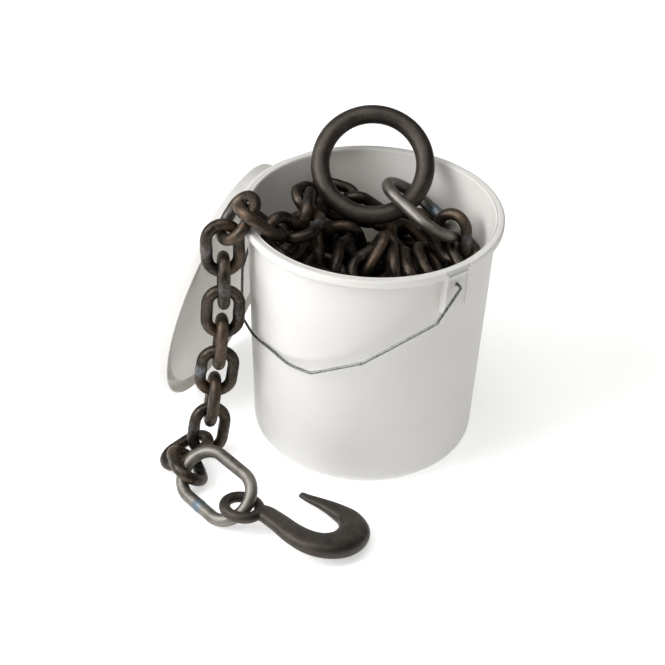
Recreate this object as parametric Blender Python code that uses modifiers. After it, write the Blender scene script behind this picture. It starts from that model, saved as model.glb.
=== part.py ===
"""Heap of steel lifting chain in its plastic pail, with the lid taken off and leaning.

Metres, +Z up. The origin is the middle of the pail's base, on the floor, and X runs
along the hinge of the wire bail. The chain was laid out as it is seen from the front,
in millimetres: x to the right, y away and z up. LAYOUT_TURN turns that layout about Z.
"""

import math

import bmesh
import bpy
import numpy as np
from mathutils import Matrix, Vector

MM = 0.001
LAYOUT_TURN = math.radians(50)

# Chain: 13 mm wire, pitch of three wires
WIRE = 13.0
PITCH = 3 * WIRE
LINK_WIDTH = 47.0
GAP = 0.5
HEAP_GAP = 0.65
STEP = PITCH - GAP

# Facets of a bent wire: steps round an end, and what keeps eight sides as thick as a round
LINK_ARC_STEPS = 6
COUPLING_ARC_STEPS = 8
RING_STEPS = 32
FACET_SCALE = 1.03

# Oval coupling links, the round lifting ring and the hook
COUPLING_WIRE = 14.0
COUPLING_LENGTH = 110.0
COUPLING_WIDTH = 70.0
RING_WIRE = 21.0
RING_BORE = 95.0
EYE_WIRE = 12.0
EYE_RADIUS = 18.5
HOOK_FLATNESS = 0.62
HOOK_STEPS = 3
HOOK_EYE_ENDS = ((-141.0, -191.5, 22.0), (-101.0, -188.5, 19.0))
HOOK_FACE = (0.09, 0.04, 1.0)

# Pail
PAIL_HEIGHT = 280.0
RIM_RADIUS = 140.0
RIM_DROP = 8.0
WALL_TOP_RADIUS = 132.5
BASE_RADIUS = 124.0
WALL = 2.5
BASE_EDGE = 10.0
FLOOR_THICK = 3.0

# Ears that hold the bail
EAR_ROOT = 129.6
EAR_HALF_WIDTH = 15.5
EAR_FACE = 137.5
EAR_PLATE = 2.5
RIB_STAND = 2.0
EAR_BOTTOM = 230.0
RIB = 2.5
HINGE_HEIGHT = 260.0
HINGE_HOLE = 4.4
NOTCH_BOTTOM = 265.0
NOTCH_SPARE = 5.0

# Wire bail, hanging against the front of the pail
BAIL_WIRE = 3.0
BAIL_ANGLE = math.radians(40)

# Lid
LID_RADIUS = 141.0
LID_DEPTH = 14.0
LID_SKIN = 2.5
LID_TILT = math.radians(12.1)
LID_AZIMUTH = math.radians(209.5)

# Smooth solid that stands in for the hidden chain
CORE_RADIUS_GAP = 1.0
CORE_EDGE = 180.0
CORE_TOP = 186.0

# Easing the laid-out links off each other: rounds, mm sunk a round and the share of the
# rounds that sink, mm of error that is left, spacing of the points that are tested, gap to
# the ground, and where a piece's mass counts as lying, as a share of its reach
SETTLE_ROUNDS = 260
SINK = 0.15
SINK_SHARE = 0.6
SETTLED = 0.02
SAMPLE = 4.5
GROUND_GAP = 0.45
MASS_REACH = 0.55

# How far the end on the floor is then drawn tight
FLOOR_PULL = (-0.4, -0.5, 0.0)


def clear_scene():
    for obj in list(bpy.data.objects):
        bpy.data.objects.remove(obj, do_unlink=True)


def new_collection(name, shown):
    group = bpy.data.collections.new(name)
    bpy.context.scene.collection.children.link(group)
    group.hide_render = not shown
    return group


def material(name, colour, roughness, metallic):
    made = bpy.data.materials.new(name)
    made.use_nodes = True
    shader = made.node_tree.nodes["Principled BSDF"]
    shader.inputs["Base Color"].default_value = (*colour, 1.0)
    shader.inputs["Roughness"].default_value = roughness
    shader.inputs["Metallic"].default_value = metallic
    return made


def add_object(name, data, look, group):
    obj = bpy.data.objects.new(name, data)
    group.objects.link(obj)
    if look and not data.materials:
        data.materials.append(look)
    return obj


def smooth(mesh):
    mesh.shade_smooth()
    mesh.set_sharp_from_angle(angle=math.radians(40))


def turned_solid(name, profile, steps, look, group):
    """Profile of (radius, height) in mm, from the top down the outer side, round Z."""
    mesh = bpy.data.meshes.new(name)
    points = [(radius * MM, 0.0, height * MM) for radius, height in profile]
    edges = [(i, i + 1) for i in range(len(points) - 1)]
    mesh.from_pydata(points, edges, [])
    obj = add_object(name, mesh, look, group)
    screw = obj.modifiers.new("Turn", "SCREW")
    screw.steps = steps
    screw.render_steps = steps
    screw.use_merge_vertices = True
    screw.merge_threshold = 0.0001
    screw.use_smooth_shade = True
    return obj


def wire_curve(name, points, radius, closed, sides_step=2):
    """Poly curve through points in mm with a round bevel."""
    curve = bpy.data.curves.new(name, "CURVE")
    curve.dimensions = "3D"
    curve.bevel_depth = radius * MM
    curve.bevel_resolution = sides_step
    curve.use_fill_caps = not closed
    spline = curve.splines.new("POLY")
    spline.points.add(len(points) - 1)
    for slot, point in zip(spline.points, points):
        slot.co = (*(value * MM for value in point), 1.0)
    spline.use_cyclic_u = closed
    return curve


def mesh_of_curve(name, curve):
    """Welded mesh of a curve, for pieces that share it or are cut."""
    helper = bpy.data.objects.new(name + "_guide", curve)
    bpy.context.scene.collection.objects.link(helper)
    bpy.context.view_layer.update()
    graph = bpy.context.evaluated_depsgraph_get()
    mesh = bpy.data.meshes.new_from_object(helper.evaluated_get(graph))
    bpy.data.objects.remove(helper, do_unlink=True)
    work = bmesh.new()
    work.from_mesh(mesh)
    bmesh.ops.remove_doubles(work, verts=work.verts, dist=0.00001)
    bmesh.ops.recalc_face_normals(work, faces=work.faces)
    work.to_mesh(mesh)
    work.free()
    mesh.name = name
    smooth(mesh)
    return mesh


def circle(radius, steps):
    angles = [2 * math.pi * i / steps for i in range(steps)]
    return [(radius * math.cos(angle), radius * math.sin(angle), 0.0) for angle in angles]


def oval(length, width, wire, arc_steps):
    """Centre line of an oval link in its own XY plane, in mm, long side on X."""
    radius = (width - wire) / 2
    straight = (length - width) / 2
    points = []
    for end in (1, -1):
        for i in range(arc_steps + 1):
            angle = math.pi * (i / arc_steps - 0.5)
            x = end * (straight + radius * math.cos(angle))
            y = end * radius * math.sin(angle)
            points.append((x, y, 0.0))
    return points


def subdivided(loop, longest):
    """The closed line with extra points, none farther apart than longest."""
    points = []
    for start, end in zip(loop, loop[1:] + loop[:1]):
        start, end = np.array(start), np.array(end)
        count = math.ceil(np.linalg.norm(end - start) / longest)
        points += [start + (end - start) * i / count for i in range(count)]
    return points


class Piece:
    """Rigid chain piece: a centre line with a thickness, placed by two ends and a face."""

    def __init__(self, name, line, radii, start, end, face, held=False, inside=True):
        self.name = name
        self.line = np.array(line, float)
        self.radii = np.broadcast_to(radii, len(line)).astype(float)
        self.held = held
        self.inside = inside
        self.sinks = False
        self.reach = np.abs(self.line).max() + self.radii.max()
        self.spin = (MASS_REACH * np.abs(self.line).max()) ** 2
        start, end, face = (np.array(item, float) for item in (start, end, face))
        along = (end - start) / np.linalg.norm(end - start)
        face = face - along * face.dot(along)
        face = face / np.linalg.norm(face)
        self.centre = (start + end) / 2
        self.turn = np.stack([along, np.cross(face, along), face], axis=1)
        self.update()

    def update(self):
        self.points = self.centre + self.line @ self.turn.T

    def weight(self, at, way):
        if self.held:
            return 0.0
        return 1.0 + (np.cross(at - self.centre, way) ** 2).sum() / self.spin

    def shift(self, at, way, amount):
        if self.held:
            return
        self.centre = self.centre + way * amount
        axis = np.cross(at - self.centre, way) * amount / self.spin
        angle = np.linalg.norm(axis)
        if angle > 1e-9:
            self.turn = np.array(Matrix.Rotation(angle, 3, Vector(axis))) @ self.turn
        self.update()


def ease_pair(first, second, gap):
    """Moves two pieces apart until their wires are at least gap apart."""
    reach = first.reach + second.reach + gap
    if ((first.centre - second.centre) ** 2).sum() > reach * reach:
        return 0.0
    apart = first.points[:, None] - second.points[None]
    clear = np.sqrt((apart**2).sum(axis=2)) - first.radii[:, None] - second.radii
    i, j = divmod(int(clear.argmin()), clear.shape[1])
    short = gap - clear[i, j]
    if short <= 0:
        return 0.0
    way = apart[i, j] / np.linalg.norm(apart[i, j])
    weights = first.weight(first.points[i], way), second.weight(second.points[j], way)
    share = short / max(sum(weights), 1e-9)
    at_first, at_second = first.points[i].copy(), second.points[j].copy()
    first.shift(at_first, way, share)
    second.shift(at_second, -way, share)
    return short


def pail_section():
    """Wall, lip and skirt of the pail as (start, end, half thickness) in the r-z plane."""
    wall_foot = (BASE_RADIUS - WALL / 2, 0.0)
    wall_head = (WALL_TOP_RADIUS - WALL / 2, PAIL_HEIGHT - WALL / 2)
    lip_end = (RIM_RADIUS - WALL / 2, PAIL_HEIGHT - WALL / 2)
    skirt_end = (RIM_RADIUS - WALL / 2, PAIL_HEIGHT - RIM_DROP)
    return [(wall_foot, wall_head), (wall_head, lip_end), (lip_end, skirt_end)]


def ease_off_pail(piece, gap):
    """Moves a piece off the pail's wall and rim where it comes too near."""
    radial = np.hypot(piece.points[:, 0], piece.points[:, 1])
    flat = np.stack([radial, piece.points[:, 2]], axis=1)
    worst, found = 0.0, None
    for start, end in pail_section():
        start, end = np.array(start), np.array(end)
        along = end - start
        part = np.clip((flat - start) @ along / along.dot(along), 0, 1)
        away = flat - (start + part[:, None] * along)
        length = np.linalg.norm(away, axis=1)
        short = gap + WALL / 2 + piece.radii - length
        i = int(short.argmax())
        if short[i] > worst:
            worst, found = short[i], (i, away[i] / length[i])
    if not found:
        return
    i, (out, up) = found
    way = np.array([*(piece.points[i, :2] / radial[i] * out), up])
    piece.shift(piece.points[i].copy(), way, worst / piece.weight(piece.points[i], way))


def ease_off_ground(piece, gap):
    """Keeps a piece above the floor, or above the hidden core inside the pail."""
    ground = np.zeros(len(piece.points))
    if piece.inside:
        radial = np.hypot(piece.points[:, 0], piece.points[:, 1])
        ground = CORE_TOP + (CORE_EDGE - CORE_TOP) * np.clip(radial / BASE_RADIUS, 0, 1)
    short = ground + piece.radii + gap - piece.points[:, 2]
    i = int(short.argmax())
    if short[i] > 0:
        up = np.array([0.0, 0.0, 1.0])
        piece.shift(piece.points[i].copy(), up, short[i] / piece.weight(piece.points[i], up))


def settle(pieces, rounds, sink):
    """Lowers the loose pieces bit by bit, easing every piece off its neighbours."""
    pairs = [(a, b) for i, a in enumerate(pieces) for b in pieces[i + 1 :]]
    pairs = [(a, b) for a, b in pairs if not (a.held and b.held)]
    for turn in range(rounds):
        last = turn > SINK_SHARE * rounds
        for piece in pieces:
            if piece.sinks and not last:
                piece.centre = piece.centre - [0.0, 0.0, sink]
                piece.update()
        worst = max(
            ease_pair(a, b, HEAP_GAP if a.sinks or b.sinks else GAP) for a, b in pairs
        )
        for piece in pieces:
            if not piece.held:
                ease_off_pail(piece, HEAP_GAP)
                ease_off_ground(piece, GROUND_GAP)
        if last and worst < SETTLED:
            return


def draw_tight(pieces):
    """Draws what lies on the floor along it, tight against the hanging end."""
    for piece in pieces:
        if piece.name.startswith(("floor_link", "hook")):
            piece.centre = piece.centre + np.array(FLOOR_PULL)
            piece.update()


LINK_LOOP = oval(PITCH + 2 * WIRE, LINK_WIDTH, WIRE, LINK_ARC_STEPS)
COUPLING_LOOP = oval(COUPLING_LENGTH, COUPLING_WIDTH, COUPLING_WIRE, COUPLING_ARC_STEPS)
RING_LOOP = circle((RING_BORE + RING_WIRE) / 2, RING_STEPS)
LINK_LINE = subdivided(LINK_LOOP, SAMPLE)
COUPLING_LINE = subdivided(COUPLING_LOOP, SAMPLE)
RING_LINE = subdivided(RING_LOOP, SAMPLE)


def chain_link(name, start, end, face, **options):
    return Piece(name, LINK_LINE, WIRE / 2, start, end, face, **options)


def coupling_link(name, start, end, face, **options):
    return Piece(name, COUPLING_LINE, COUPLING_WIRE / 2, start, end, face, **options)


def along_route(route, distance):
    """Point at a distance along a route of straight stretches."""
    for start, end in zip(route, route[1:]):
        start, end = np.array(start, float), np.array(end, float)
        length = np.linalg.norm(end - start)
        if distance <= length:
            return start + (end - start) * distance / length
        distance -= length
    return end + (end - start) / length * distance


def chain_run(name, first, count, route, face, twist=90, **options):
    """Interlinked chain along a route, each link turned by twist from the last."""
    made = []
    for i in range(count):
        centre = along_route(route, i * STEP)
        ahead = along_route(route, i * STEP + STEP / 2)
        behind = along_route(route, max(i * STEP - STEP / 2, 0.0))
        along = Vector(ahead - behind).normalized()
        angle = math.radians(twist * i)
        side = Matrix.Rotation(angle, 3, along) @ Vector(face)
        label = f"{name}_{first + i:02d}"
        start, end = centre - np.array(along), centre + np.array(along)
        made.append(chain_link(label, start, end, side, **options))
    return made


def hook_shape():
    """Points of the hook's body from its eye to its tip, in mm: x, y and half width."""
    return [
        (16, -1, 8), (25, -7, 11), (39, -20, 12), (55, -37, 13.5), (72, -48, 15),
        (90, -50, 16), (107, -42, 17), (118, -23, 17), (114, -2, 14), (100, 12, 10.5),
        (85, 22, 7.5), (71, 29, 5.5), (62, 35, 4),
    ]


def smooth_path(points, steps):
    """More points on a smooth curve through the given ones, of any size."""
    knots = np.array([points[0], *points, points[-1]], float)
    path = []
    for before, start, end, after in zip(knots, knots[1:], knots[2:], knots[3:]):
        for i in range(steps):
            t = i / steps
            bend = 2 * before - 5 * start + 4 * end - after
            swing = 3 * start - before - 3 * end + after
            path.append(start + 0.5 * t * (end - before + t * (bend + t * swing)))
    return path + [knots[-1]]


def hook_piece():
    """The hook lying on the floor: its eye, then its body as thick as it is high."""
    line = circle(EYE_RADIUS, 24)
    radii = [EYE_WIRE / 2] * len(line)
    for x, y, half_width in hook_shape():
        line.append((x, y, 0.0))
        radii.append(half_width * HOOK_FLATNESS)
    return Piece("hook", line, radii, *HOOK_EYE_ENDS, HOOK_FACE, inside=False)


def ring_piece():
    """Lifting ring, standing in the heap and leaning back."""
    ends = (-60, 88, 284), (55, 88, 284)
    return Piece("ring", RING_LINE, RING_WIRE / 2, *ends, (0, -0.69, 0.72), held=True)


def laid_out_chain():
    """Every visible chain piece in the layout of the front view, before easing."""
    outside = {"inside": False}
    over_rim = [
        chain_link("rim_link_outer", (-148, -59, 271), (-125, -26, 305), (0.5, 0.48, -0.72)),
        chain_link("rim_link_middle", (-141, -42, 290), (-94, -57, 276), (0.24, 0.24, 0.94)),
        chain_link("rim_link_inner", (-103, -45, 277), (-70, -36, 240), (0.5, -0.75, 0.35)),
    ]
    hanging = chain_run(
        "hanging_link", 1, 7, [(-149, -58, 261), (-154, -67, 149), (-169, -75, 34)],
        (0.14, -1, 0), **outside
    )
    on_floor = [
        chain_link("floor_link_1", (-166, -87, 17), (-211, -106, 9), (-0.2, 0, 1), **outside),
        chain_link("floor_link_2", (-200, -107, 15), (-172, -149, 17), (0.5, 0.3, 0.8), **outside),
        coupling_link(
            "hook_coupling_link", (-191, -138, 22), (-111, -194, 31), (-0.48, -0.48, 0.74), **outside
        ),
        hook_piece(),
    ]
    left = [
        chain_link("left_link_01", (-82, -38, 268), (-66, 8, 262), (-0.2, 0.1, 1)),
        chain_link("left_link_02", (-75, -2, 260), (-64, 48, 258), (1, -0.3, 0)),
        chain_link("left_link_03", (-72, 34, 254), (-60, 80, 252), (0.5, -0.2, 0.85)),
        chain_link("left_link_04", (-66, 82, 254), (-22, 76, 246), (0.1, -0.6, 0.7)),
        chain_link("left_link_05", (-38, 70, 242), (8, 76, 230), (0.1, 0.95, 0.4)),
    ]
    right = [
        coupling_link("ring_coupling_link", (24, 91, 250), (83, 19, 241), (0.43, 0.14, 0.89)),
        chain_link("right_link_1", (88, 30, 246), (106, 36, 200), (0.44, 0.86, 0.25)),
        chain_link("right_link_2", (99, 34, 214), (114, -10, 199), (-0.78, 0.5, -0.35)),
    ]
    back = chain_run(
        "back_link", 1, 4, [(14, 92, 222), (44, 98, 216), (70, 84, 210), (90, 58, 206)],
        (0, 0, 1), twist=70,
    )
    standing = [
        chain_link("heap_link_01", (-45, 31, 230), (-53, 11, 186), (1, -0.2, 0)),
        chain_link("heap_link_02", (-21, 38, 230), (-20, 22, 184), (0, -0.9, 0.4)),
        chain_link("heap_link_03", (-24, 42, 208), (14, 8, 200), (0.5, 0.5, 0.7)),
        chain_link("heap_link_04", (6, 26, 214), (10, 8, 170), (1, 0.1, 0)),
        chain_link("heap_link_05", (-37, 15, 214), (-24, -10, 172), (1, 0.3, 0)),
        chain_link("heap_link_06", (-50, 10, 204), (-47, -38, 190), (0.2, -0.2, 1)),
        chain_link("heap_link_07", (-9, 3, 204), (-6, -14, 160), (0.2, -1, 0.3)),
        chain_link("heap_link_08", (19, 30, 212), (37, -4, 190), (0.9, 0.3, 0.3)),
        chain_link("heap_link_09", (43, 22, 208), (40, -20, 184), (0.9, 0, 0.3)),
        chain_link("heap_link_10", (57, 36, 218), (78, -4, 198), (0.7, 0.3, 0.6)),
        chain_link("heap_link_11", (84, -14, 214), (70, -58, 196), (0.3, -0.3, 0.9)),
        chain_link("heap_link_12", (-74, 26, 226), (-84, -18, 208), (0.9, 0, 0.4)),
        chain_link("heap_link_13", (24, 62, 216), (66, 52, 210), (0, -0.4, 0.9)),
        chain_link("heap_link_14", (-92, 26, 212), (-86, 66, 206), (0.5, 0, 0.9)),
        chain_link("heap_link_15", (-62, 64, 208), (-36, 98, 206), (0.2, -0.2, 0.9)),
    ]
    front = chain_run(
        "front_link", 1, 6,
        [(64, -84, 199), (14, -104, 198), (-40, -98, 200), (-84, -66, 204), (-100, -30, 206)],
        (0.3, 0.3, 1), twist=80,
    )
    middle = chain_run(
        "middle_link", 1, 4, [(52, -44, 204), (10, -56, 204), (-36, -56, 206), (-60, -40, 206)],
        (0, 0.4, 1), twist=80,
    )
    for piece in back + standing + front + middle + on_floor[:-1]:
        piece.sinks = True
    return over_rim + hanging + on_floor + left + right + back + standing + front + middle


def piece_matrix(piece):
    turned = Matrix.Rotation(LAYOUT_TURN, 4, "Z")
    placed = Matrix.LocRotScale(
        Vector(piece.centre) * MM, Matrix(piece.turn.tolist()), Vector((1, 1, 1))
    )
    return turned @ placed


def loop_mesh(name, loop, wire):
    return mesh_of_curve(name, wire_curve(name, loop, wire / 2 * FACET_SCALE, closed=True))


def hook_mesh():
    """Eye and body of the hook, joined into one forging."""
    line = circle(EYE_RADIUS, 20)
    eye = mesh_of_curve("hook_eye", wire_curve("hook_eye", line, EYE_WIRE / 2, True))
    shape = smooth_path(hook_shape(), HOOK_STEPS)
    curve = wire_curve("hook_body", [(x, y, 0.0) for x, y, _ in shape], 1.0, False, 3)
    for point, (_, _, half_width) in zip(curve.splines[0].points, shape):
        point.radius = half_width
    body = mesh_of_curve("hook_body", curve)
    body.transform(Matrix.Diagonal((1, 1, HOOK_FLATNESS, 1)))
    return eye, body


def add_chain(pieces, group, tools, looks):
    meshes = {
        "link": loop_mesh("chain_link", LINK_LOOP, WIRE),
        "coupling": loop_mesh("coupling_link", COUPLING_LOOP, COUPLING_WIRE),
        "ring": mesh_of_curve("ring", wire_curve("ring", RING_LOOP, RING_WIRE / 2, True, 3)),
    }
    for piece in pieces:
        if piece.name == "hook":
            eye, body = hook_mesh()
            hook = add_object("hook", eye, looks["forged"], group)
            part = add_tool("hook_body", body, tools)
            hook.matrix_world = part.matrix_world = piece_matrix(piece)
            apply_tool(hook, part, "UNION")
            continue
        kind = "ring" if piece.name == "ring" else "link"
        kind = "coupling" if "coupling" in piece.name else kind
        look = looks["coupling"] if kind == "coupling" else looks["chain"]
        obj = add_object(piece.name, meshes[kind], look, group)
        obj.matrix_world = piece_matrix(piece)


def prism(name, outline, bottom, top, tools):
    """Cutter or part with a flat outline in mm, from one height to another."""
    work = bmesh.new()
    verts = [work.verts.new((x * MM, y * MM, bottom * MM)) for x, y in outline]
    base = work.faces.new(verts)
    lifted = bmesh.ops.extrude_face_region(work, geom=[base])["geom"]
    raised = [item for item in lifted if isinstance(item, bmesh.types.BMVert)]
    bmesh.ops.translate(work, verts=raised, vec=(0, 0, (top - bottom) * MM))
    bmesh.ops.recalc_face_normals(work, faces=work.faces)
    mesh = bpy.data.meshes.new(name)
    work.to_mesh(mesh)
    work.free()
    return add_tool(name, mesh, tools)


def add_tool(name, mesh, tools):
    tool = add_object(name, mesh, None, tools)
    tool.display_type = "WIRE"
    tool.hide_render = True
    return tool


def apply_tool(obj, tool, operation):
    step = obj.modifiers.new(tool.name, "BOOLEAN")
    step.operation = operation
    step.solver = "EXACT"
    step.object = tool


def mirrored(outline, side):
    points = [(side * x, y) for x, y in outline]
    return points if side > 0 else points[::-1]


def add_ears(pail, tools):
    """Two ears: the lip is cut flat there, and a ribbed plate stands off the wall."""
    root = EAR_ROOT
    half, rib = EAR_HALF_WIDTH, EAR_HALF_WIDTH - RIB
    back, front = EAR_FACE - EAR_PLATE, EAR_FACE + RIB_STAND
    plan = [
        (root, -half), (front, -half), (front, -rib), (EAR_FACE, -rib),
        (EAR_FACE, rib), (front, rib), (front, half), (root, half),
        (root, rib), (back, rib), (back, -rib), (root, -rib),
    ]
    outer = RIM_RADIUS + NOTCH_SPARE
    notch = [(EAR_FACE, -half), (outer, -half), (outer, half), (EAR_FACE, half)]
    for side, word in ((1, "right"), (-1, "left")):
        cut = prism(
            f"{word}_notch", mirrored(notch, side), NOTCH_BOTTOM, PAIL_HEIGHT + NOTCH_SPARE, tools
        )
        apply_tool(pail, cut, "DIFFERENCE")
        ear = prism(f"{word}_ear", mirrored(plan, side), EAR_BOTTOM, PAIL_HEIGHT - 1, tools)
        apply_tool(pail, ear, "UNION")
        hole = bpy.data.meshes.new(f"{word}_hole")
        work = bmesh.new()
        bmesh.ops.create_cone(
            work, cap_ends=True, segments=16, radius1=HINGE_HOLE / 2 * MM,
            radius2=HINGE_HOLE / 2 * MM, depth=8 * MM,
        )
        work.to_mesh(hole)
        work.free()
        drill = add_tool(f"{word}_hole", hole, tools)
        drill.rotation_euler = (0, math.pi / 2, 0)
        drill.location = (side * (EAR_FACE - EAR_PLATE / 2) * MM, 0, HINGE_HEIGHT * MM)
        apply_tool(pail, drill, "DIFFERENCE")


def wall_radius(height):
    """Outer radius of the pail's wall at a height."""
    rise = (height - BASE_EDGE) / (PAIL_HEIGHT - WALL - BASE_EDGE)
    return BASE_RADIUS + (WALL_TOP_RADIUS - BASE_RADIUS) * rise


def add_pail(group, tools, look):
    """Tapered pail with a turned-out lip and two ears."""
    top = PAIL_HEIGHT
    profile = [
        (0, FLOOR_THICK), (BASE_RADIUS - BASE_EDGE, FLOOR_THICK),
        (BASE_RADIUS - WALL, BASE_EDGE + 1), (WALL_TOP_RADIUS - WALL, top - 1),
        (WALL_TOP_RADIUS - WALL + 1, top), (RIM_RADIUS - 1, top), (RIM_RADIUS, top - 1),
        (RIM_RADIUS, top - RIM_DROP), (RIM_RADIUS - WALL, top - RIM_DROP),
        (RIM_RADIUS - WALL, top - WALL), (WALL_TOP_RADIUS, top - WALL),
        (BASE_RADIUS, BASE_EDGE), (BASE_RADIUS - 0.3 * BASE_EDGE, 0.3 * BASE_EDGE),
        (BASE_RADIUS - BASE_EDGE, 0), (0, 0),
    ]
    pail = turned_solid("pail", profile, 56, look, group)
    add_ears(pail, tools)


def add_core(group, look):
    """Plain solid under the visible links."""
    foot = FLOOR_THICK + GROUND_GAP
    edge = wall_radius(CORE_EDGE) - WALL - CORE_RADIUS_GAP
    profile = [
        (0, CORE_TOP), (0.5 * edge, (CORE_TOP + CORE_EDGE) / 2), (edge, CORE_EDGE),
        (BASE_RADIUS - WALL - CORE_RADIUS_GAP, BASE_EDGE + 2),
        (BASE_RADIUS - BASE_EDGE - 2, foot), (0, foot),
    ]
    turned_solid("heap_core", profile, 32, look, group)


def add_lid(group, look):
    """Lid with a raised edge and a sunk middle, leaning on the rim."""
    depth, skin = LID_DEPTH, LID_SKIN
    profile = [
        (0, -8), (123, -8), (127, -0.5), (128, 0), (LID_RADIUS - 1.5, 0), (LID_RADIUS, -1.5),
        (LID_RADIUS, -depth), (LID_RADIUS - 2, -depth), (LID_RADIUS - 2, -skin),
        (130, -skin), (125.5, -8 - skin), (0, -8 - skin),
    ]
    lid = turned_solid("lid", profile, 48, look, group)
    out = RIM_RADIUS + 0.4 + LID_RADIUS * math.sin(LID_TILT) + depth * math.cos(LID_TILT)
    height = LID_RADIUS * math.cos(LID_TILT) + depth * math.sin(LID_TILT)
    spot = Vector((out * math.cos(LID_AZIMUTH), out * math.sin(LID_AZIMUTH), height)) * MM
    turn = Matrix.Rotation(LID_AZIMUTH, 4, "Z") @ Matrix.Rotation(math.pi / 2 - LID_TILT, 4, "Y")
    lid.matrix_world = Matrix.Translation(spot) @ turn


def bail_route():
    """Half of the bail in its own plane: (along the hinge, away from the hinge)."""
    return [
        (133.6, 0), (141.5, 0), (144, 1.5), (145, 4), (148.6, 40), (148.4, 44), (147, 48.5),
        (110, 117), (106.5, 122), (102, 126.5), (68, 158), (62, 162.5), (54, 165), (30, 170.2),
        (0, 170.2),
    ]


def add_bail(group, look):
    """Wire bail on the hinge axis, hanging down the front of the pail."""
    half = bail_route()
    away = (0, -math.cos(BAIL_ANGLE), -math.sin(BAIL_ANGLE))
    whole = half + [(-x, drop) for x, drop in half[-2::-1]]
    points = [(x, drop * away[1], drop * away[2]) for x, drop in whole]
    bail = add_object("bail", wire_curve("bail", points, BAIL_WIRE / 2, False), look, group)
    bail.location = (0, 0, HINGE_HEIGHT * MM)


def main():
    clear_scene()
    group = new_collection("heap_of_steel_chain", True)
    tools = new_collection("tools", False)
    looks = {
        "chain": material("dark_steel", (0.045, 0.035, 0.03), 0.5, 0.8),
        "coupling": material("bright_steel", (0.32, 0.3, 0.27), 0.35, 0.9),
        "forged": material("forged_steel", (0.07, 0.055, 0.045), 0.55, 0.7),
        "pail": material("white_plastic", (0.8, 0.8, 0.78), 0.35, 0.0),
        "wire": material("zinc_wire", (0.5, 0.5, 0.5), 0.3, 1.0),
    }
    add_pail(group, tools, looks["pail"])
    add_core(group, looks["chain"])
    add_lid(group, looks["pail"])
    add_bail(group, looks["wire"])
    pieces = laid_out_chain() + [ring_piece()]
    settle(pieces, SETTLE_ROUNDS, SINK)
    draw_tight(pieces)
    add_chain(pieces, group, tools, looks)


main()
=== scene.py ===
"""Finish of the heap of steel chain in its pail.

It gives every link a smooth round wire with its weld, forges the hook and the ring, moulds
the pail and the lid, and fills the pail with the chain that the solids only stand in for.
Metres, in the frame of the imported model; names that end in _MM are in millimetres.
"""

import math

import bmesh
import bpy
import numpy as np
from mathutils import Matrix, Vector


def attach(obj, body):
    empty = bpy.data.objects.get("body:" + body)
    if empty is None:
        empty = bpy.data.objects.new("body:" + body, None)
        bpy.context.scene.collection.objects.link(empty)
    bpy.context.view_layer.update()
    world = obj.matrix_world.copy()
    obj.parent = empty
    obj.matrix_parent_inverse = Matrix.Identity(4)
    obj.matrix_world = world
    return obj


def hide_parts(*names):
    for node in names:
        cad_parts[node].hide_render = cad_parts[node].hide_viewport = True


MM = 0.001
BODY = "heap_and_pail"
SEED = 7

# Chain, coupling links and ring, as (length, width, wire)
CHAIN_MM = (65.0, 47.0, 13.0)
COUPLING_MM = (110.0, 70.0, 14.0)
RING_BORE_MM = 95.0
RING_WIRE_MM = 21.0

# Steps of a link: round each end, along each side and round the wire
CHAIN_STEPS = (18, 12, 18)
COUPLING_STEPS = (28, 30, 22)
HIDDEN_STEPS = (8, 3, 10)

# Weld on the middle of one side: half length of its bead, how far the bead stands out as a
# share of the wire, and its band, the seams that end it and their depth as shares of the bead
WELD_MM = 3.4
WELD_RISE = 0.055
COUPLING_WELD_RISE = 0.06
BAND = 1.9
SEAM = 0.35
SEAM_DEPTH = 0.3

# Share of the chain links with the weld on the upper side, and how uneven a forged bar is
WELDS_UP = 0.4
UNEVEN = 0.005

# Hook in the layout of the front view, which LAYOUT_TURN turns about Z
LAYOUT_TURN = math.radians(50)
HOOK_AT_MM = (-120.0, -193.7, 24.4)
HOOK_ALONG = (0.989, 0.065, -0.133)
HOOK_FACE = (0.125, 0.117, 0.985)
HOOK_FLATNESS = 0.62
EYE_RADIUS_MM = 18.5
EYE_WIRE_MM = 12.0
MELT_MM = 0.9

# Pail
PAIL_HEIGHT_MM = 280.0
RIM_RADIUS_MM = 140.0
RIM_DROP_MM = 8.0
WALL_TOP_RADIUS_MM = 132.5
BASE_RADIUS_MM = 124.0
WALL_MM = 2.5
BASE_EDGE_MM = 10.0
FLOOR_THICK_MM = 3.0
TURN_STEPS = 160

# Ears and bail
EAR_ROOT_MM = 129.6
EAR_HALF_WIDTH_MM = 15.5
EAR_FACE_MM = 137.5
EAR_PLATE_MM = 2.5
RIB_STAND_MM = 2.0
RIB_MM = 2.5
EAR_BOTTOM_MM = 230.0
LEDGE_MM = (270.0, 272.4)
HINGE_HEIGHT_MM = 260.0
HINGE_HOLE_MM = 4.4
BAIL_WIRE_MM = 3.0
BAIL_ANGLE = math.radians(40)

# Lid
LID_RADIUS_MM = 141.0
LID_DEPTH_MM = 14.0
LID_SKIN_MM = 2.5
LID_TILT = math.radians(12.1)
LID_AZIMUTH = math.radians(209.5)
RIM_GAP_MM = 0.4

# Hidden chain: middle height of each layer, radius and link count of its rounds, and how
# links lean by turns, the play of the lean and the play of the radius
LAYERS_MM = (21.5, 58.0, 94.5, 131.0, 166.5)
ROUNDS_MM = ((98.0, 16), (61.0, 10), (24.5, 4))
LEAN_DEGREES = 45
LEAN_PLAY = 0.15
ROUND_PLAY_MM = 1.5

# Camera, from the photograph's perspective
LOOK_AT = Vector((0.0, 0.0, 0.140))
DISTANCE = 1.6628
AZIMUTH = math.radians(50)
ELEVATION = math.radians(34.94)
ROLL = math.radians(3.04)
LENS_MM = 81.2
SENSOR_MM = 36.0
SHIFT = (-0.0519, -0.0229)

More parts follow.
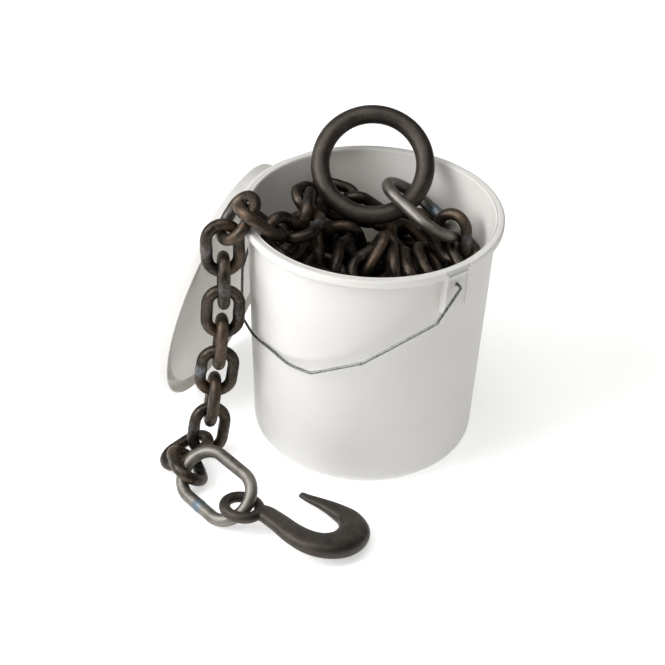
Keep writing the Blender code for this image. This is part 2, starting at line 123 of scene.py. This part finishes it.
# Light in the plastic: its share, and how deep it goes
SHINE_THROUGH = 0.35
SHINE_THROUGH_MM = 6.0

# Studio: the sky's strength and its bright side, the floor's width and its own light, and
# the lamps as (turn from the camera's side, height, distance, size, watts)
SKY_STRENGTH = 0.5
SKY_TURN = math.radians(75)
SKY_RISE = 0.5
FLOOR_WIDTH = 60.0
FLOOR_GLOW = 0.52
KEY_LAMP = (math.radians(68), 1.15, 1.4, 1.2, 25.0)
TOP_LAMP = (math.radians(20), 2.0, 0.3, 1.2, 10.0)


# Materials


def add_node(tree, kind, inputs, **settings):
    """Node with its settings, whose inputs are either values or sockets to link."""
    made = tree.nodes.new(kind)
    for key, value in settings.items():
        setattr(made, key, value)
    for key, value in inputs.items():
        if isinstance(value, bpy.types.NodeSocket):
            tree.links.new(value, made.inputs[key])
        else:
            made.inputs[key].default_value = value
    return made


def noise(tree, coords, scale, detail=4.0, rough=0.55):
    inputs = {"Vector": coords, "Scale": scale, "Detail": detail, "Roughness": rough}
    return add_node(tree, "ShaderNodeTexNoise", inputs).outputs["Fac"]


def ramp(tree, value, stops):
    """Colour ramp through (position, colour) stops."""
    made = add_node(tree, "ShaderNodeValToRGB", {"Fac": value})
    slots = made.color_ramp.elements
    while len(slots) < len(stops):
        slots.new(0.5)
    for slot, (place, colour) in zip(slots, stops):
        slot.position = place
        slot.color = (*colour, 1.0)
    return made.outputs["Color"]


def spread(tree, value, low, high, from_low=0.3, from_high=0.7):
    """Maps a noise to a range of plain numbers."""
    inputs = {"Value": value, "From Min": from_low, "From Max": from_high}
    inputs.update({"To Min": low, "To Max": high})
    return add_node(tree, "ShaderNodeMapRange", inputs).outputs["Result"]


def blend_colours(tree, share, first, second):
    made = add_node(tree, "ShaderNodeMix", {0: share, 6: first, 7: second}, data_type="RGBA")
    return made.outputs[2]


def times(tree, first, second):
    inputs = {0: first, 1: second}
    return add_node(tree, "ShaderNodeMath", inputs, operation="MULTIPLY").outputs[0]


def raised(tree, height, depth_mm, under=None):
    """Bump of a depth in millimetres, on top of another bump."""
    inputs = {"Height": height, "Distance": depth_mm * MM, "Strength": 1.0}
    if under:
        inputs["Normal"] = under
    return add_node(tree, "ShaderNodeBump", inputs).outputs["Normal"]


def new_material(name, metallic, specular=0.5):
    made = bpy.data.materials.new(name)
    made.use_nodes = True
    tree = made.node_tree
    shader = tree.nodes["Principled BSDF"]
    shader.inputs["Metallic"].default_value = metallic
    shader.inputs["Specular IOR Level"].default_value = specular
    coords = tree.nodes.new("ShaderNodeTexCoord").outputs["Object"]
    return made, tree, shader, coords


def finish_shader(tree, shader, colour, roughness, normal):
    tree.links.new(colour, shader.inputs["Base Color"])
    tree.links.new(roughness, shader.inputs["Roughness"])
    tree.links.new(normal, shader.inputs["Normal"])


def chain_steel():
    """Dark scaled steel with thin rust, and a bare blue-grey band at the weld."""
    made, tree, shader, coords = new_material("chain_steel", metallic=0.85)
    patches = noise(tree, coords, 38.0, 5.0, 0.6)
    specks = noise(tree, coords, 260.0, 4.0, 0.65)
    grit = noise(tree, coords, 1100.0, 3.0, 0.6)
    base = ramp(
        tree, patches,
        [(0.30, (0.017, 0.014, 0.012)), (0.50, (0.048, 0.038, 0.030)), (0.70, (0.130, 0.086, 0.056))],
    )
    rubbed = ramp(tree, specks, [(0.50, (0.0, 0.0, 0.0)), (0.72, (0.30, 0.30, 0.30))])
    base = blend_colours(tree, rubbed, base, (0.210, 0.185, 0.155, 1.0))
    weld = add_node(tree, "ShaderNodeAttribute", {}, attribute_name="weld").outputs["Fac"]
    bare = times(tree, weld, spread(tree, specks, 0.25, 1.0, 0.35, 0.6))
    colour = blend_colours(tree, bare, base, (0.21, 0.23, 0.25, 1.0))
    roughness = spread(tree, patches, 0.31, 0.52)
    normal = raised(tree, specks, 0.22, raised(tree, grit, 0.05))
    finish_shader(tree, shader, colour, roughness, normal)
    return made


def coupling_steel():
    """Satin warm-grey drawn steel, blued at the weld."""
    made, tree, shader, coords = new_material("coupling_steel", metallic=0.9)
    patches = noise(tree, coords, 55.0, 4.0)
    specks = noise(tree, coords, 420.0, 4.0, 0.65)
    base = ramp(tree, patches, [(0.30, (0.12, 0.110, 0.097)), (0.70, (0.25, 0.235, 0.212))])
    spots = ramp(tree, specks, [(0.58, (0.0, 0.0, 0.0)), (0.75, (0.5, 0.5, 0.5))])
    base = blend_colours(tree, spots, base, (0.10, 0.085, 0.07, 1.0))
    weld = add_node(tree, "ShaderNodeAttribute", {}, attribute_name="weld").outputs["Fac"]
    colour = blend_colours(tree, weld, base, (0.14, 0.175, 0.205, 1.0))
    roughness = spread(tree, patches, 0.38, 0.52)
    normal = raised(tree, specks, 0.08)
    finish_shader(tree, shader, colour, roughness, normal)
    return made


def forged_steel():
    """Forged and scaled steel of the hook and the ring."""
    made, tree, shader, coords = new_material("forged_steel_skin", metallic=0.8)
    patches = noise(tree, coords, 42.0, 5.0, 0.6)
    pits = noise(tree, coords, 330.0, 5.0, 0.65)
    grit = noise(tree, coords, 1300.0, 3.0)
    base = ramp(
        tree, patches,
        [(0.30, (0.036, 0.031, 0.027)), (0.55, (0.062, 0.053, 0.045)), (0.75, (0.098, 0.082, 0.068))],
    )
    light = ramp(tree, pits, [(0.52, (0.0, 0.0, 0.0)), (0.75, (0.35, 0.35, 0.35))])
    colour = blend_colours(tree, light, base, (0.11, 0.095, 0.08, 1.0))
    roughness = spread(tree, patches, 0.40, 0.56)
    normal = raised(tree, pits, 0.34, raised(tree, grit, 0.06))
    finish_shader(tree, shader, colour, roughness, normal)
    return made


def white_plastic():
    """Moulded white plastic, a little uneven, scuffed and not quite opaque."""
    made, tree, shader, coords = new_material("moulded_plastic", metallic=0.0)
    clouds = noise(tree, coords, 9.0, 3.0)
    scuffs = noise(tree, coords, 120.0, 6.0, 0.7)
    base = ramp(tree, clouds, [(0.30, (0.680, 0.668, 0.638)), (0.70, (0.715, 0.707, 0.685))])
    marks = ramp(tree, scuffs, [(0.62, (0.0, 0.0, 0.0)), (0.80, (0.35, 0.35, 0.35))])
    colour = blend_colours(tree, marks, base, (0.62, 0.61, 0.58, 1.0))
    roughness = spread(tree, scuffs, 0.30, 0.46)
    normal = raised(tree, clouds, 0.5, raised(tree, scuffs, 0.03))
    finish_shader(tree, shader, colour, roughness, normal)
    shader.inputs["Subsurface Weight"].default_value = SHINE_THROUGH
    shader.inputs["Subsurface Radius"].default_value = (1.0, 0.95, 0.85)
    shader.inputs["Subsurface Scale"].default_value = SHINE_THROUGH_MM * MM
    return made


def zinc_wire():
    made, tree, shader, coords = new_material("zinc_skin", metallic=1.0)
    specks = noise(tree, coords, 500.0, 3.0)
    colour = ramp(tree, specks, [(0.35, (0.11, 0.11, 0.11)), (0.65, (0.24, 0.24, 0.235))])
    roughness = spread(tree, specks, 0.22, 0.38)
    finish_shader(tree, shader, colour, roughness, raised(tree, specks, 0.04))
    return made


def floor_paint():
    made, tree, shader, coords = new_material("floor_paint", metallic=0.0, specular=0.2)
    clouds = noise(tree, coords, 3.0, 3.0)
    colour = ramp(tree, clouds, [(0.3, (0.86, 0.86, 0.86)), (0.7, (0.88, 0.88, 0.88))])
    roughness = spread(tree, clouds, 0.75, 0.85)
    finish_shader(tree, shader, colour, roughness, raised(tree, clouds, 0.05))
    shader.inputs["Emission Color"].default_value = (1.0, 1.0, 1.0, 1.0)
    shader.inputs["Emission Strength"].default_value = FLOOR_GLOW
    return made


# Shapes


def mesh_from(name, points, faces, weld=None):
    mesh = bpy.data.meshes.new(name)
    mesh.from_pydata(np.asarray(points).tolist(), [], faces)
    mesh.shade_smooth()
    mesh.set_sharp_from_angle(angle=math.radians(50))
    if weld is not None:
        mesh.attributes.new("weld", "FLOAT", "POINT").data.foreach_set("value", weld)
    return mesh


def add_piece(name, mesh, look, nodes, body=BODY):
    """Piece that stands for CAD nodes and rides on their body."""
    piece = bpy.data.objects.new(name, mesh)
    bpy.context.scene.collection.objects.link(piece)
    mesh.materials.append(look)
    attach(piece, body)
    if nodes:
        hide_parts(*nodes)
    return piece


def smooth_path(points, steps):
    """More points on a smooth curve through the given ones, of any size."""
    knots = np.array([points[0], *points, points[-1]], float)
    path = []
    for before, start, end, after in zip(knots, knots[1:], knots[2:], knots[3:]):
        for i in range(steps):
            t = i / steps
            bend = 2 * before - 5 * start + 4 * end - after
            swing = 3 * start - before - 3 * end + after
            path.append(start + 0.5 * t * (end - before + t * (bend + t * swing)))
    return np.array([*path, knots[-1]])


def sweep(line, sections, closed):
    """Points and faces of a skin round a line in the XY plane.

    sections holds, for each point of the line, offsets (to the outer side, up)."""
    if closed:
        ahead, behind = np.roll(line, -1, axis=0), np.roll(line, 1, axis=0)
    else:
        ahead = np.vstack([line[1:], line[-1:]])
        behind = np.vstack([line[:1], line[:-1]])
    run = ahead - behind
    run = run / np.linalg.norm(run, axis=1)[:, None]
    outward = np.stack([run[:, 1], -run[:, 0], np.zeros(len(run))], axis=1)
    points = line[:, None] + sections[..., :1] * outward[:, None]
    points = points + sections[..., 1:] * np.array([0.0, 0.0, 1.0])
    count, sides = sections.shape[:2]
    faces = []
    for i in range(count if closed else count - 1):
        j = (i + 1) % count
        for a in range(sides):
            b = (a + 1) % sides
            faces.append((i * sides + a, i * sides + b, j * sides + b, j * sides + a))
    if not closed:
        faces.append(tuple(range(sides))[::-1])
        faces.append(tuple((count - 1) * sides + a for a in range(sides)))
    return points.reshape(-1, 3), faces


def round_sections(radii, sides, squareness=2.0, flatness=1.0):
    """A round, or squarish, section for each radius."""
    angles = np.arange(sides) * 2 * math.pi / sides
    power = 2.0 / squareness
    out = np.sign(np.cos(angles)) * np.abs(np.cos(angles)) ** power
    up = np.sign(np.sin(angles)) * np.abs(np.sin(angles)) ** power
    shape = np.stack([out, up * flatness], axis=1)
    return np.asarray(radii)[:, None, None] * shape[None]


def oval(size_mm, arc_steps, side_steps):
    """Centre line of an oval link, in metres, with the distance from its weld."""
    length, width, wire = size_mm
    radius, straight = (width - wire) / 2, (length - width) / 2
    line = []
    for end in (1, -1):
        for i in range(arc_steps + 1):
            angle = math.pi * (i / arc_steps - 0.5)
            x = end * (straight + radius * math.cos(angle))
            line.append((x, end * radius * math.sin(angle), 0.0))
        for i in range(1, side_steps):
            line.append((end * straight * (1 - 2 * i / side_steps), end * radius, 0.0))
    line = np.array(line)
    from_weld = np.where(line[:, 1] > radius * 0.99, np.abs(line[:, 0]), straight + 20.0)
    return line * MM, from_weld


def link_skin(size_mm, steps, rise, rng):
    """Points, faces and weld share of one link, slightly uneven, about its own centre."""
    arc_steps, side_steps, sides = steps
    line, from_weld = oval(size_mm, arc_steps, side_steps)
    around = np.linspace(0, 2 * math.pi, len(line), endpoint=False)
    radii = np.full(len(line), size_mm[2] / 2 * MM)
    for wave in (2, 3, 5):
        radii *= 1 - UNEVEN * (1 - np.sin(wave * around + rng.uniform(0, 2 * math.pi)))
    bead = np.exp(-((from_weld / WELD_MM) ** 2))
    seam = np.exp(-(((from_weld - BAND * WELD_MM) / (SEAM * WELD_MM)) ** 2))
    sections = round_sections(radii * (1 + rise * bead - SEAM_DEPTH * rise * seam), sides)
    points, faces = sweep(line, sections, closed=True)
    weld = np.repeat(np.exp(-((from_weld / (BAND * WELD_MM)) ** 4)), sides)
    return points, faces, weld


def link_frame(node, weld_up):
    """Where an oval link lies: matrix with its length on X and its weld on the +Y side."""
    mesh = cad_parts[node].data
    points = np.empty(len(mesh.vertices) * 3)
    mesh.vertices.foreach_get("co", points)
    points = np.unique(points.reshape(-1, 3).round(6), axis=0)
    middle = points.mean(axis=0)
    axes = np.linalg.eigh(np.cov((points - middle).T))[1]
    spans = (points - middle) @ axes
    middle = middle + axes @ (spans.min(axis=0) + spans.max(axis=0)) / 2
    side = axes[:, 1] * (1 if (axes[2, 1] > 0) == weld_up else -1)
    along = axes[:, 2]
    placed = np.eye(4)
    placed[:3, 0], placed[:3, 1] = along, side
    placed[:3, 2], placed[:3, 3] = np.cross(along, side), middle
    return placed


def moved(points, placed):
    return points @ placed[:3, :3].T + placed[:3, 3]


def add_links(looks):
    """Every chain and coupling link that the solids show, one piece each."""
    rng = np.random.default_rng(SEED)
    for node in sorted(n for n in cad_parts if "link" in n):
        coupling = "coupling" in node
        weld_up = not coupling and rng.random() < WELDS_UP
        placed = link_frame(node, weld_up)
        if coupling:
            points, faces, weld = link_skin(COUPLING_MM, COUPLING_STEPS, COUPLING_WELD_RISE, rng)
        else:
            points, faces, weld = link_skin(CHAIN_MM, CHAIN_STEPS, WELD_RISE, rng)
            weld = weld * rng.uniform(0.0, 0.8)
        mesh = mesh_from(node + "_skin", moved(points, placed), faces, weld)
        look, slot = ("coupling", "bright_steel") if coupling else ("chain", "dark_steel")
        add_piece(node + "_skin", mesh, looks[look], [node])


def add_hidden_chain(looks):
    """Chain coiled down in layers, in place of the plain core of the solids."""
    rng = np.random.default_rng(SEED + 1)
    all_points, all_faces, all_welds, start = [], [], [], 0
    for layer, height in enumerate(LAYERS_MM):
        for radius, count in ROUNDS_MM:
            first = rng.uniform(0, 2 * math.pi)
            for i in range(count):
                angle = first + 2 * math.pi * i / count
                outer = np.array([math.cos(angle), math.sin(angle), 0.0])
                along = np.array([-math.sin(angle), math.cos(angle), 0.0])
                lean = math.radians(LEAN_DEGREES if i % 2 else -LEAN_DEGREES)
                lean += rng.uniform(-LEAN_PLAY, LEAN_PLAY)
                side = outer * math.cos(lean) + np.array([0, 0, math.sin(lean)])
                placed = np.eye(4)
                placed[:3, 0], placed[:3, 1] = along, side
                placed[:3, 2] = np.cross(along, side)
                wobble = rng.uniform(-ROUND_PLAY_MM, ROUND_PLAY_MM)
                placed[:3, 3] = (outer * (radius + wobble) + [0, 0, height]) * MM
                points, faces, weld = link_skin(CHAIN_MM, HIDDEN_STEPS, WELD_RISE, rng)
                all_points.append(moved(points, placed))
                all_faces += [tuple(start + corner for corner in face) for face in faces]
                all_welds.append(weld * rng.uniform(0.0, 0.5))
                start += len(points)
    mesh = mesh_from("hidden_chain", np.vstack(all_points), all_faces, np.hstack(all_welds))
    add_piece("hidden_chain", mesh, looks["chain"], ["heap_core"])


def add_ring(looks):
    """Round lifting ring, forged a little uneven."""
    rng = np.random.default_rng(SEED + 2)
    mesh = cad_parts["ring"].data
    points = np.array([vertex.co for vertex in mesh.vertices])
    axes = np.linalg.eigh(np.cov((points - points.mean(axis=0)).T))[1]
    placed = np.eye(4)
    placed[:3, 0], placed[:3, 1] = axes[:, 2], axes[:, 1]
    placed[:3, 2] = np.cross(axes[:, 2], axes[:, 1])
    spans = (points - points.mean(axis=0)) @ axes
    placed[:3, 3] = points.mean(axis=0) + axes @ (spans.min(axis=0) + spans.max(axis=0)) / 2
    around = np.linspace(0, 2 * math.pi, 144, endpoint=False)
    middle = (RING_BORE_MM + RING_WIRE_MM) / 2 * MM
    line = np.stack([np.cos(around), np.sin(around), 0 * around], axis=1) * middle
    radii = np.full(len(line), RING_WIRE_MM / 2 * MM)
    for wave in (2, 3, 7):
        radii *= 1 - UNEVEN * (1 - np.sin(wave * around + rng.uniform(0, 2 * math.pi)))
    skin, faces = sweep(line, round_sections(radii, 28), closed=True)
    add_piece("ring_skin", mesh_from("ring_skin", moved(skin, placed), faces), looks["forged"],
              ["ring"])


def hook_shape():
    """Points of the hook's body from its eye to its tip, in mm: x, y and half width."""
    return [
        (16, -1, 8), (25, -7, 11), (39, -20, 12), (55, -37, 13.5), (72, -48, 15),
        (90, -50, 16), (107, -42, 17), (118, -23, 17), (114, -2, 14), (100, 12, 10.5),
        (85, 22, 7.5), (71, 29, 5.5), (62, 35, 4),
    ]


def add_hook(looks):
    """Hook forged in one with its eye: the parts are melted into one skin."""
    path = smooth_path(hook_shape(), 8) * MM
    line = np.stack([path[:, 0], path[:, 1], 0 * path[:, 0]], axis=1)
    body = round_sections(path[:, 2], 28, squareness=2.5, flatness=HOOK_FLATNESS)
    points, faces = sweep(line, body, closed=False)
    around = np.linspace(0, 2 * math.pi, 72, endpoint=False)
    eye_line = np.stack([np.cos(around), np.sin(around), 0 * around], axis=1)
    eye_wire = np.full(len(around), EYE_WIRE_MM / 2 * MM)
    eye, eye_faces = sweep(eye_line * EYE_RADIUS_MM * MM, round_sections(eye_wire, 20), True)
    faces += [tuple(len(points) + corner for corner in face) for face in eye_faces]
    along, face = Vector(HOOK_ALONG).normalized(), Vector(HOOK_FACE)
    face = (face - along * face.dot(along)).normalized()
    turned = Matrix((along, face.cross(along), face)).transposed()
    placed = Matrix.Rotation(LAYOUT_TURN, 4, "Z") @ Matrix.LocRotScale(
        Vector(HOOK_AT_MM) * MM, turned, None
    )
    skin = moved(np.vstack([points, eye]), np.array(placed))
    hook = add_piece("hook_skin", mesh_from("hook_skin", skin, faces), looks["forged"],
                     ["hook"])
    melt = hook.modifiers.new("Melt", "REMESH")
    melt.mode = "VOXEL"
    melt.voxel_size = MELT_MM * MM
    melt.use_smooth_shade = True
    soften = hook.modifiers.new("Soften", "SMOOTH")
    soften.iterations = 8
    apply_modifiers(hook)


def apply_modifiers(piece):
    graph = bpy.context.evaluated_depsgraph_get()
    mesh = bpy.data.meshes.new_from_object(piece.evaluated_get(graph))
    mesh.name = piece.name
    piece.modifiers.clear()
    piece.data = mesh


def turned(name, profile_mm, steps=TURN_STEPS):
    """Closed skin of a (radius, height) profile turned round Z, from its top down."""
    work = bmesh.new()
    profile = [work.verts.new((radius * MM, 0, height * MM)) for radius, height in profile_mm]
    edges = [work.edges.new(pair) for pair in zip(profile, profile[1:])]
    bmesh.ops.spin(
        work, geom=profile + edges, axis=(0, 0, 1), cent=(0, 0, 0),
        angle=2 * math.pi, steps=steps, use_merge=True,
    )
    bmesh.ops.remove_doubles(work, verts=work.verts, dist=0.00001)
    bmesh.ops.recalc_face_normals(work, faces=work.faces)
    mesh = bpy.data.meshes.new(name)
    work.to_mesh(mesh)
    work.free()
    return mesh


def rounded(profile, corner, radius, steps=4):
    """The profile with one corner turned into an arc."""
    before, at, after = (np.array(profile[corner + k], float) for k in (-1, 0, 1))
    start = at + (before - at) / np.linalg.norm(before - at) * radius
    end = at + (after - at) / np.linalg.norm(after - at) * radius
    arc = []
    for i in range(steps + 1):
        t = i / steps
        arc.append(tuple((1 - t) ** 2 * start + 2 * t * (1 - t) * at + t**2 * end))
    return profile[:corner] + arc + profile[corner + 1 :]


def tool_object(name, mesh):
    tool = bpy.data.objects.new(name, mesh)
    bpy.context.scene.collection.objects.link(tool)
    return tool


def prism(name, outline_mm, bottom_mm, top_mm):
    work = bmesh.new()
    verts = [work.verts.new((x * MM, y * MM, bottom_mm * MM)) for x, y in outline_mm]
    base = work.faces.new(verts)
    lifted = bmesh.ops.extrude_face_region(work, geom=[base])["geom"]
    raised_verts = [item for item in lifted if isinstance(item, bmesh.types.BMVert)]
    bmesh.ops.translate(work, verts=raised_verts, vec=(0, 0, (top_mm - bottom_mm) * MM))
    bmesh.ops.recalc_face_normals(work, faces=work.faces)
    mesh = bpy.data.meshes.new(name)
    work.to_mesh(mesh)
    work.free()
    return tool_object(name, mesh)


def use_tool(piece, tool, operation):
    step = piece.modifiers.new(tool.name, "BOOLEAN")
    step.operation = operation
    step.solver = "EXACT"
    step.object = tool
    apply_modifiers(piece)
    bpy.data.objects.remove(tool, do_unlink=True)


def add_ear(pail, side):
    """One ear: the lip is cut flat, and a ribbed plate with a ledge holds the bail."""
    half, rib = EAR_HALF_WIDTH_MM, EAR_HALF_WIDTH_MM - RIB_MM
    face, back = EAR_FACE_MM, EAR_FACE_MM - EAR_PLATE_MM
    front, root, outer = face + RIB_STAND_MM, EAR_ROOT_MM, RIM_RADIUS_MM + 5

    def facing(outline):
        points = [(side * x, y) for x, y in outline]
        return points if side > 0 else points[::-1]

    top = PAIL_HEIGHT_MM
    notch = [(face, -half), (outer, -half), (outer, half), (face, half)]
    use_tool(pail, prism("notch", facing(notch), 265, top + 5), "DIFFERENCE")
    plan = [
        (root, -half), (front, -half), (front, -rib), (face, -rib), (face, rib), (front, rib),
        (front, half), (root, half), (root, rib), (back, rib), (back, -rib), (root, -rib),
    ]
    use_tool(pail, prism("ear", facing(plan), EAR_BOTTOM_MM, top - 4), "UNION")
    ledge = [(back, -half), (front, -half), (front, half), (back, half)]
    use_tool(pail, prism("ledge", facing(ledge), *LEDGE_MM), "UNION")
    work = bmesh.new()
    bmesh.ops.create_cone(
        work, cap_ends=True, segments=24, radius1=HINGE_HOLE_MM / 2 * MM,
        radius2=HINGE_HOLE_MM / 2 * MM, depth=8 * MM,
    )
    hole = bpy.data.meshes.new("hole")
    across = Matrix.Rotation(math.pi / 2, 4, "Y")
    spot = Vector((side * (face - EAR_PLATE_MM / 2), 0, HINGE_HEIGHT_MM)) * MM
    bmesh.ops.transform(work, matrix=Matrix.Translation(spot) @ across, verts=work.verts)
    work.to_mesh(hole)
    work.free()
    use_tool(pail, tool_object("hole", hole), "DIFFERENCE")


def add_pail(looks):
    """Tapered pail: rolled lip with a skirt, rounded foot and two ears."""
    top, rim, skin = PAIL_HEIGHT_MM, RIM_RADIUS_MM, WALL_MM
    inner = WALL_TOP_RADIUS_MM - skin
    profile = [
        (0, FLOOR_THICK_MM), (BASE_RADIUS_MM - BASE_EDGE_MM, FLOOR_THICK_MM),
        (BASE_RADIUS_MM - skin, BASE_EDGE_MM + 1), (inner, top - 2.2), (inner + 0.9, top - 0.7),
        (inner + 1.7, top), (inner + 2.6, top - 0.5), (inner + 3.2, top - 0.5), (inner + 4.1, top),
        (rim, top), (rim, top - RIM_DROP_MM), (rim - skin, top - RIM_DROP_MM),
        (rim - skin, top - skin), (WALL_TOP_RADIUS_MM, top - skin), (BASE_RADIUS_MM, BASE_EDGE_MM),
        (BASE_RADIUS_MM - BASE_EDGE_MM, 0), (0, 0),
    ]
    profile = rounded(profile, 15, 4.0)
    profile = rounded(profile, 14, 6.0, 6)
    profile = rounded(profile, 10, 0.6)
    profile = rounded(profile, 9, 2.2, 6)
    profile = rounded(profile, 2, 6.0, 5)
    pail = add_piece("pail_skin", turned("pail_skin", profile), looks["plastic"],
                     ["pail"])
    for side in (1, -1):
        add_ear(pail, side)
    pail.data.shade_smooth()
    pail.data.set_sharp_from_angle(angle=math.radians(30))


def add_lid(looks):
    """Lid with a stepped edge, a fine groove and a sunk middle, leaning on the rim."""
    outer, depth, skin = LID_RADIUS_MM, LID_DEPTH_MM, LID_SKIN_MM
    profile = [
        (0, -8), (121.5, -8), (126, -1.2), (127.5, 0), (131.0, 0), (131.6, -0.9), (132.6, -0.9),
        (133.2, -0.2), (outer, -0.2), (outer, -depth), (outer - 2, -depth), (outer - 2, -skin),
        (130, -skin), (125.5, -8 - skin), (0, -8 - skin),
    ]
    profile = rounded(profile, 9, 0.8)
    profile = rounded(profile, 8, 2.4, 6)
    profile = rounded(profile, 2, 1.2)
    profile = rounded(profile, 1, 3.0, 5)
    lid = turned("lid_skin", profile)
    out = RIM_RADIUS_MM + RIM_GAP_MM + outer * math.sin(LID_TILT) + depth * math.cos(LID_TILT)
    height = outer * math.cos(LID_TILT) + depth * math.sin(LID_TILT)
    spot = Vector((out * math.cos(LID_AZIMUTH), out * math.sin(LID_AZIMUTH), height)) * MM
    lean = Matrix.Rotation(LID_AZIMUTH, 4, "Z") @ Matrix.Rotation(math.pi / 2 - LID_TILT, 4, "Y")
    lid.transform(Matrix.Translation(spot) @ lean)
    lid.shade_smooth()
    lid.set_sharp_from_angle(angle=math.radians(30))
    add_piece("lid_skin", lid, looks["plastic"], ["lid"])


def bail_route():
    """Half of the bail in its own plane, in mm: (along the hinge, away from the hinge)."""
    return [
        (133.6, 0), (141.5, 0), (144, 1.5), (145, 4), (148.6, 40), (148.4, 44), (147, 48.5),
        (110, 117), (106.5, 122), (102, 126.5), (68, 158), (62, 162.5), (54, 165), (30, 170.2),
        (0, 170.2),
    ]


def add_bail(looks):
    """Bent zinc wire through both ears."""
    half = bail_route()
    whole = half + [(-x, drop) for x, drop in half[-2::-1]]
    path = smooth_path(whole, 6) * MM
    line = np.stack([path[:, 0], -path[:, 1], 0 * path[:, 0]], axis=1)
    wire = round_sections(np.full(len(line), BAIL_WIRE_MM / 2 * MM), 12)
    points, faces = sweep(line, wire, closed=False)
    placed = Matrix.Translation((0, 0, HINGE_HEIGHT_MM * MM)) @ Matrix.Rotation(BAIL_ANGLE, 4, "X")
    mesh = mesh_from("bail_skin", moved(points, np.array(placed)), faces)
    add_piece("bail_skin", mesh, looks["wire"], ["bail"], body="bail")


# Studio


def add_floor():
    bpy.ops.mesh.primitive_plane_add(size=FLOOR_WIDTH, location=(0, 0, 0))
    floor = bpy.context.object
    floor.name = "studio_floor"
    floor.data.materials.append(floor_paint())


def view_side(turn):
    """Direction on the floor, turned from the camera's side; positive is to the left."""
    angle = AZIMUTH - turn
    return Vector((math.sin(angle), -math.cos(angle), 0.0))


def add_sky():
    """Soft white surroundings, brighter to the left of the camera and above."""
    world = bpy.data.worlds.new("studio")
    bpy.context.scene.world = world
    world.use_nodes = True
    tree = world.node_tree
    towards = tree.nodes.new("ShaderNodeTexCoord").outputs["Generated"]
    bright_side = (view_side(SKY_TURN) + Vector((0, 0, SKY_RISE))).normalized()
    facing = add_node(
        tree, "ShaderNodeVectorMath", {0: towards, 1: bright_side}, operation="DOT_PRODUCT"
    ).outputs["Value"]
    share = spread(tree, facing, 0.0, 1.0, -0.6, 0.8)
    tint = ramp(
        tree, share,
        [(0.0, (0.08, 0.073, 0.06)), (0.5, (0.42, 0.40, 0.37)), (1.0, (1.2, 1.2, 1.2))],
    )
    background = tree.nodes["Background"]
    tree.links.new(tint, background.inputs["Color"])
    background.inputs["Strength"].default_value = SKY_STRENGTH


def add_lamp(name, turn, height, distance, size, watts):
    data = bpy.data.lights.new(name, "AREA")
    data.size = size
    data.energy = watts
    lamp = bpy.data.objects.new(name, data)
    bpy.context.scene.collection.objects.link(lamp)
    place = view_side(turn) * distance + Vector((0, 0, height))
    lamp.location = place
    lamp.rotation_euler = (place - LOOK_AT).to_track_quat("Z", "Y").to_euler()


def add_camera():
    back = Vector((
        math.sin(AZIMUTH) * math.cos(ELEVATION),
        -math.cos(AZIMUTH) * math.cos(ELEVATION),
        math.sin(ELEVATION),
    ))
    data = bpy.data.cameras.new("photo_camera")
    data.lens = LENS_MM
    data.sensor_width = SENSOR_MM
    data.shift_x, data.shift_y = SHIFT
    camera = bpy.data.objects.new("photo_camera", data)
    bpy.context.scene.collection.objects.link(camera)
    turn = back.to_track_quat("Z", "Y").to_matrix().to_4x4()
    place = Matrix.Translation(LOOK_AT + back * DISTANCE)
    camera.matrix_world = place @ turn @ Matrix.Rotation(ROLL, 4, "Z")
    bpy.context.scene.camera = camera


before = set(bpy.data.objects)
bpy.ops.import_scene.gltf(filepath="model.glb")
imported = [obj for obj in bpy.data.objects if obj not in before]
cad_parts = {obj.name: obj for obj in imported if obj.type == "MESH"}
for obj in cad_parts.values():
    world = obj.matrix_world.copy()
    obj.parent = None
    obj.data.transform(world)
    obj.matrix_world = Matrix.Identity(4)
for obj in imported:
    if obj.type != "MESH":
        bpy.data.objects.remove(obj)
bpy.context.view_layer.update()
looks = {
    "chain": chain_steel(),
    "coupling": coupling_steel(),
    "forged": forged_steel(),
    "plastic": white_plastic(),
    "wire": zinc_wire(),
}
add_links(looks)
add_hidden_chain(looks)
add_ring(looks)
add_hook(looks)
add_pail(looks)
add_lid(looks)
add_bail(looks)
add_floor()
add_sky()
add_lamp("key_lamp", *KEY_LAMP)
add_lamp("top_lamp", *TOP_LAMP)
add_camera()
bpy.context.scene.view_settings.view_transform = "Standard"
